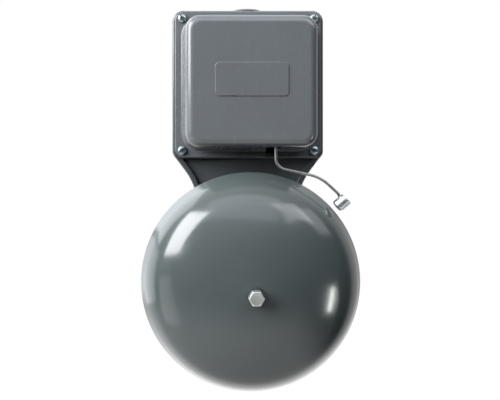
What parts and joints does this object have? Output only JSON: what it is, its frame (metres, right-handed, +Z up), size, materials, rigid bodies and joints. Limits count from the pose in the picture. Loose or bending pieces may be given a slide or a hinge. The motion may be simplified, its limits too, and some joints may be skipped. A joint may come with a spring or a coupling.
{
  "type": "fire alarm bell",
  "caption": "Wall-mounted vibrating alarm bell: square cast housing with a screwed cover, a neck carrying a round gong on a post, and a bent wire striker driven by an electromagnet.",
  "frame": {"origin": "centre of the four wall screw holes, on the back face of the base", "axes": "+Z up, +Y into the wall, so the gong and cover face -Y, and +X to the right seen from the front"},
  "size_m": [0.1524, 0.0957, 0.2715],
  "materials": {
    "grey_enamel": "glossy stoved enamel",
    "zinc": "bright zinc plate",
    "bare_steel": "bare soft iron and steel, lightly oiled",
    "brass": "turned brass",
    "bronze": "spring bronze strip",
    "winding": "enamelled copper wire, wound in layers",
    "phenolic": "moulded black phenolic",
    "fibre": "vulcanised red fibre",
    "red_lead": "red lead insulation",
    "black_lead": "black lead insulation"
  },
  "bodies": {
    "root": {"base_housing": "grey_enamel", "cover": "grey_enamel", "cover_screws": "zinc", "gong": "grey_enamel", "gong_post": "zinc", "post_screw": "zinc", "seat_washer": "fibre", "gong_washer": "zinc", "lock_washer": "zinc", "gong_bolt": "zinc", "mechanism_plate": "zinc", "plate_screws": "zinc", "magnet_yoke": "bare_steel", "yoke_screws": "zinc", "upper_core": "bare_steel", "lower_core": "bare_steel", "core_screws": "zinc", "upper_bobbin": "phenolic", "lower_bobbin": "phenolic", "upper_winding": "winding", "lower_winding": "winding", "pivot_bracket": "zinc", "pivot_bracket_screws": "zinc", "pivot_pin": "bare_steel", "pin_clips": "bare_steel", "contact_bracket": "brass", "contact_insulator": "fibre", "contact_bracket_screws": "brass", "contact_screw": "brass", "contact_lock_nut": "brass", "spring_bracket": "zinc", "spring_bracket_screws": "zinc", "spring_adjuster": "brass", "return_spring": "bare_steel", "terminal_block": "phenolic", "terminal_plates": "brass", "terminal_screws": "brass", "block_screws": "zinc", "coil_lead": "red_lead", "coil_link": "red_lead", "frame_lead": "black_lead", "contact_lead": "black_lead"},
    "striker": {"armature": "bare_steel", "contact_blade": "bronze", "blade_rivets": "brass", "moving_contact": "bare_steel", "rod_clamp": "brass", "clamp_screws": "zinc", "striker_rod": "zinc", "striker_hammer": "zinc"}
  },
  "joints": [
    {"name": "striker_swing", "type": "hinge", "parent": "root", "child": "striker", "pos_m": [0.012, -0.044, 0.033], "axis": [0, 1, 0], "range_deg": [0, 0.9], "stiffness_Nm_per_rad": 0.35, "springref_deg": -2.86, "deforming": ["return_spring"]}
  ]
}
